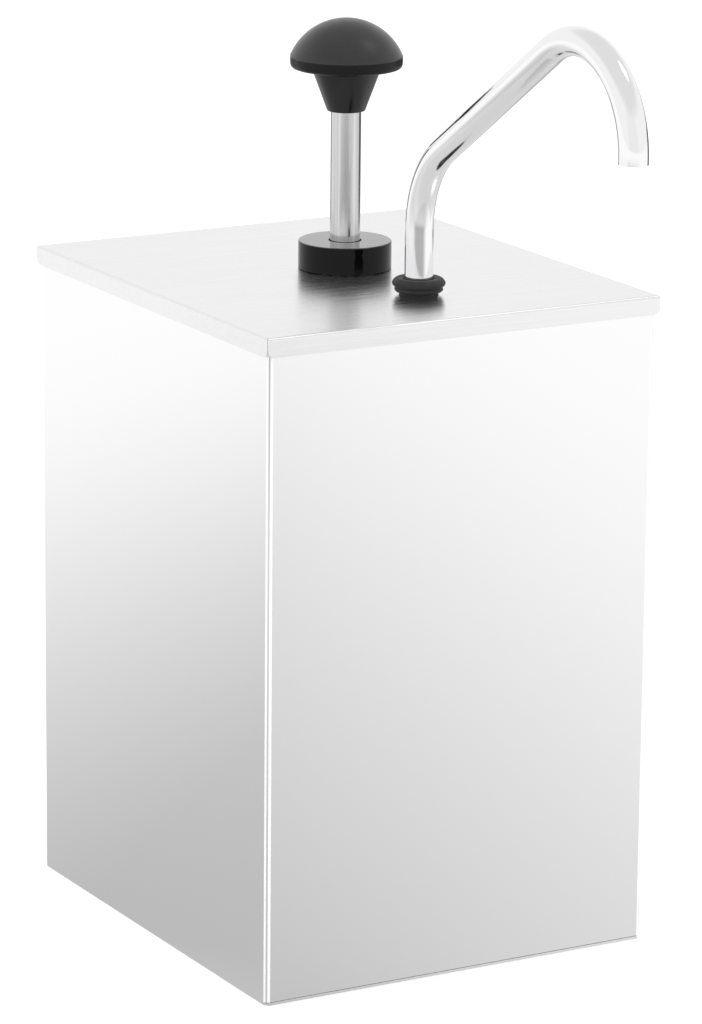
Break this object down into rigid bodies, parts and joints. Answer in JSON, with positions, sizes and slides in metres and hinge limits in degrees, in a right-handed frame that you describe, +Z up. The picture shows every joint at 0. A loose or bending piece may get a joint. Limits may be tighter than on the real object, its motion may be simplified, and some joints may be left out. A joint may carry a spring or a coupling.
{
  "type": "condiment pump dispenser",
  "caption": "Countertop sauce dispenser: square sheet-steel case with a lift-out inner container and a lid carrying a domed-knob plunger pump and a swan-neck spout.",
  "frame": {"origin": "centre of the underside of the base, on the surface that the case stands on", "axes": "+Z up; -Y is the front, the way the spout points; +X is to the right for someone facing the front"},
  "size_m": [0.1832, 0.3283, 0.4055],
  "materials": {
    "polished_steel": "bright polished stainless sheet",
    "satin_steel": "satin stainless",
    "chrome": "mirror polished",
    "gloss_black_plastic": "high gloss moulded",
    "matte_black_plastic": "soft sheen moulded",
    "rubber": "matte",
    "white_plastic": "natural moulded"
  },
  "bodies": {
    "case": {"case_shell": "polished_steel", "base_plate": "polished_steel"},
    "container": {"inner_container": "satin_steel"},
    "lid": {"lid_cover": "satin_steel", "pump_collar": "gloss_black_plastic", "cylinder_gasket": "rubber", "pump_cylinder": "satin_steel", "rod_bush": "white_plastic", "rod_wiper": "rubber", "valve_housing": "matte_black_plastic", "inlet_cage": "white_plastic", "return_spring": "chrome", "riser_bracket": "satin_steel", "spout_grommet": "rubber", "outlet_pipe": "satin_steel", "outlet_elbow": "matte_black_plastic", "outlet_cage": "white_plastic", "riser_tube": "satin_steel", "riser_cap": "matte_black_plastic"},
    "plunger": {"knob_hub": "matte_black_plastic", "knob_dome": "matte_black_plastic", "knob_stud": "satin_steel", "plunger_rod": "polished_steel", "rod_plug": "satin_steel", "piston_head": "white_plastic", "piston_ring_lower": "rubber", "piston_ring_upper": "rubber", "piston_washer": "satin_steel", "piston_screw": "satin_steel"},
    "spout": {"spout_tube": "chrome", "spout_seal_lower": "rubber", "spout_seal_upper": "rubber"},
    "inlet_valve": {"inlet_ball": "chrome"},
    "outlet_valve": {"outlet_ball": "chrome"}
  },
  "joints": [
    {"name": "container_lift", "type": "slide", "parent": "case", "child": "container", "axis": [0, 0, 1], "range_m": [0, 0.26]},
    {"name": "lid_lift", "type": "slide", "parent": "container", "child": "lid", "axis": [0, 0, 1], "range_m": [0, 0.26]},
    {"name": "plunger_press", "type": "slide", "parent": "lid", "child": "plunger", "axis": [0, 0, -1], "range_m": [0, 0.053], "stiffness_N_per_m": 400, "springref_m": -0.03, "deforming": ["return_spring"]},
    {"name": "spout_swivel", "type": "hinge", "parent": "lid", "child": "spout", "pos_m": [0.0035, -0.058, 0.26], "axis": [0, 0, 1], "range_deg": [-135, 135]},
    {"name": "inlet_valve_lift", "type": "slide", "parent": "lid", "child": "inlet_valve", "axis": [0, 0, 1], "range_m": [0, 0.003]},
    {"name": "outlet_valve_lift", "type": "slide", "parent": "lid", "child": "outlet_valve", "axis": [0, 0, 1], "range_m": [0, 0.003]}
  ]
}
